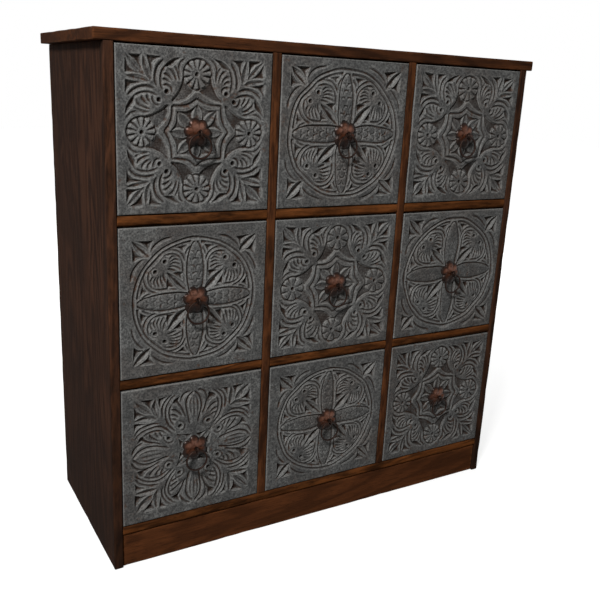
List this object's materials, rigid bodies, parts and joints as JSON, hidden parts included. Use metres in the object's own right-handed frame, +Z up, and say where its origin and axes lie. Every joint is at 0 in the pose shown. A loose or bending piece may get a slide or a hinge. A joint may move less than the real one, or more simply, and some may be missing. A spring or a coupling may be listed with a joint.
{
  "type": "chest of drawers",
  "caption": "Free-standing wooden chest of drawers: a stained case with a grid of carved, paint-distressed drawer fronts, each opened by a hammered iron rosette and hanging ring pull.",
  "frame": {"origin": "on the floor, at the middle of the overall footprint with the pulls counted in", "axes": "+Z up, the drawer fronts face -Y, +X to the right as seen from the front"},
  "size_m": [1.017, 0.4224, 1.044],
  "materials": {
    "stained_wood": "dark red-brown stain, satin, worn at the edges",
    "carved_painted_wood": "grey distressed paint over brown wood, matt",
    "drawer_wood": "planed, unfinished",
    "panel_wood": "thin panel, unfinished",
    "hammered_iron": "hammered, rusty copper-brown",
    "fastener_steel": "dull"
  },
  "bodies": {
    "case": {"top_board": "stained_wood", "left_side": "stained_wood", "right_side": "stained_wood", "left_divider": "stained_wood", "right_divider": "stained_wood", "bottom_board": "stained_wood", "plinth_board": "stained_wood", "plinth_blocks": "drawer_wood", "back_boards": "panel_wood", "back_nails": "fastener_steel", "front_rails": "stained_wood", "rail_dowels": "drawer_wood", "drawer_runners": "drawer_wood", "runner_screws": "fastener_steel", "drawer_stops": "drawer_wood"},
    "bottom_left_drawer": {"bottom_left_drawer_front": "carved_painted_wood", "bottom_left_drawer_box": "drawer_wood", "bottom_left_drawer_bottom": "panel_wood", "bottom_left_pull": "hammered_iron"},
    "bottom_left_ring_body": {"bottom_left_ring": "hammered_iron"},
    "bottom_centre_drawer": {"bottom_centre_drawer_front": "carved_painted_wood", "bottom_centre_drawer_box": "drawer_wood", "bottom_centre_drawer_bottom": "panel_wood", "bottom_centre_pull": "hammered_iron"},
    "bottom_centre_ring_body": {"bottom_centre_ring": "hammered_iron"},
    "bottom_right_drawer": {"bottom_right_drawer_front": "carved_painted_wood", "bottom_right_drawer_box": "drawer_wood", "bottom_right_drawer_bottom": "panel_wood", "bottom_right_pull": "hammered_iron"},
    "bottom_right_ring_body": {"bottom_right_ring": "hammered_iron"},
    "middle_left_drawer": {"middle_left_drawer_front": "carved_painted_wood", "middle_left_drawer_box": "drawer_wood", "middle_left_drawer_bottom": "panel_wood", "middle_left_pull": "hammered_iron"},
    "middle_left_ring_body": {"middle_left_ring": "hammered_iron"},
    "middle_centre_drawer": {"middle_centre_drawer_front": "carved_painted_wood", "middle_centre_drawer_box": "drawer_wood", "middle_centre_drawer_bottom": "panel_wood", "middle_centre_pull": "hammered_iron"},
    "middle_centre_ring_body": {"middle_centre_ring": "hammered_iron"},
    "middle_right_drawer": {"middle_right_drawer_front": "carved_painted_wood", "middle_right_drawer_box": "drawer_wood", "middle_right_drawer_bottom": "panel_wood", "middle_right_pull": "hammered_iron"},
    "middle_right_ring_body": {"middle_right_ring": "hammered_iron"},
    "top_left_drawer": {"top_left_drawer_front": "carved_painted_wood", "top_left_drawer_box": "drawer_wood", "top_left_drawer_bottom": "panel_wood", "top_left_pull": "hammered_iron"},
    "top_left_ring_body": {"top_left_ring": "hammered_iron"},
    "top_centre_drawer": {"top_centre_drawer_front": "carved_painted_wood", "top_centre_drawer_box": "drawer_wood", "top_centre_drawer_bottom": "panel_wood", "top_centre_pull": "hammered_iron"},
    "top_centre_ring_body": {"top_centre_ring": "hammered_iron"},
    "top_right_drawer": {"top_right_drawer_front": "carved_painted_wood", "top_right_drawer_box": "drawer_wood", "top_right_drawer_bottom": "panel_wood", "top_right_pull": "hammered_iron"},
    "top_right_ring_body": {"top_right_ring": "hammered_iron"}
  },
  "joints": [
    {"name": "bottom_left_slide", "type": "slide", "parent": "case", "child": "bottom_left_drawer", "axis": [0, -1, 0], "range_m": [0, 0.26]},
    {"name": "bottom_left_ring_swing", "type": "hinge", "parent": "bottom_left_drawer", "child": "bottom_left_ring_body", "pos_m": [-0.322, -0.2038, 0.2394], "axis": [-1, 0, 0], "range_deg": [-14, 175]},
    {"name": "bottom_centre_slide", "type": "slide", "parent": "case", "child": "bottom_centre_drawer", "axis": [0, -1, 0], "range_m": [0, 0.26]},
    {"name": "bottom_centre_ring_swing", "type": "hinge", "parent": "bottom_centre_drawer", "child": "bottom_centre_ring_body", "pos_m": [0, -0.2038, 0.2394], "axis": [-1, 0, 0], "range_deg": [-14, 175]},
    {"name": "bottom_right_slide", "type": "slide", "parent": "case", "child": "bottom_right_drawer", "axis": [0, -1, 0], "range_m": [0, 0.26]},
    {"name": "bottom_right_ring_swing", "type": "hinge", "parent": "bottom_right_drawer", "child": "bottom_right_ring_body", "pos_m": [0.322, -0.2038, 0.2394], "axis": [-1, 0, 0], "range_deg": [-14, 175]},
    {"name": "middle_left_slide", "type": "slide", "parent": "case", "child": "middle_left_drawer", "axis": [0, -1, 0], "range_m": [0, 0.26]},
    {"name": "middle_left_ring_swing", "type": "hinge", "parent": "middle_left_drawer", "child": "middle_left_ring_body", "pos_m": [-0.322, -0.2038, 0.5559], "axis": [-1, 0, 0], "range_deg": [-14, 175]},
    {"name": "middle_centre_slide", "type": "slide", "parent": "case", "child": "middle_centre_drawer", "axis": [0, -1, 0], "range_m": [0, 0.26]},
    {"name": "middle_centre_ring_swing", "type": "hinge", "parent": "middle_centre_drawer", "child": "middle_centre_ring_body", "pos_m": [0, -0.2038, 0.5559], "axis": [-1, 0, 0], "range_deg": [-14, 175]},
    {"name": "middle_right_slide", "type": "slide", "parent": "case", "child": "middle_right_drawer", "axis": [0, -1, 0], "range_m": [0, 0.26]},
    {"name": "middle_right_ring_swing", "type": "hinge", "parent": "middle_right_drawer", "child": "middle_right_ring_body", "pos_m": [0.322, -0.2038, 0.5559], "axis": [-1, 0, 0], "range_deg": [-14, 175]},
    {"name": "top_left_slide", "type": "slide", "parent": "case", "child": "top_left_drawer", "axis": [0, -1, 0], "range_m": [0, 0.26]},
    {"name": "top_left_ring_swing", "type": "hinge", "parent": "top_left_drawer", "child": "top_left_ring_body", "pos_m": [-0.322, -0.2038, 0.8724], "axis": [-1, 0, 0], "range_deg": [-14, 175]},
    {"name": "top_centre_slide", "type": "slide", "parent": "case", "child": "top_centre_drawer", "axis": [0, -1, 0], "range_m": [0, 0.26]},
    {"name": "top_centre_ring_swing", "type": "hinge", "parent": "top_centre_drawer", "child": "top_centre_ring_body", "pos_m": [0, -0.2038, 0.8724], "axis": [-1, 0, 0], "range_deg": [-14, 175]},
    {"name": "top_right_slide", "type": "slide", "parent": "case", "child": "top_right_drawer", "axis": [0, -1, 0], "range_m": [0, 0.26]},
    {"name": "top_right_ring_swing", "type": "hinge", "parent": "top_right_drawer", "child": "top_right_ring_body", "pos_m": [0.322, -0.2038, 0.8724], "axis": [-1, 0, 0], "range_deg": [-14, 175]}
  ]
}
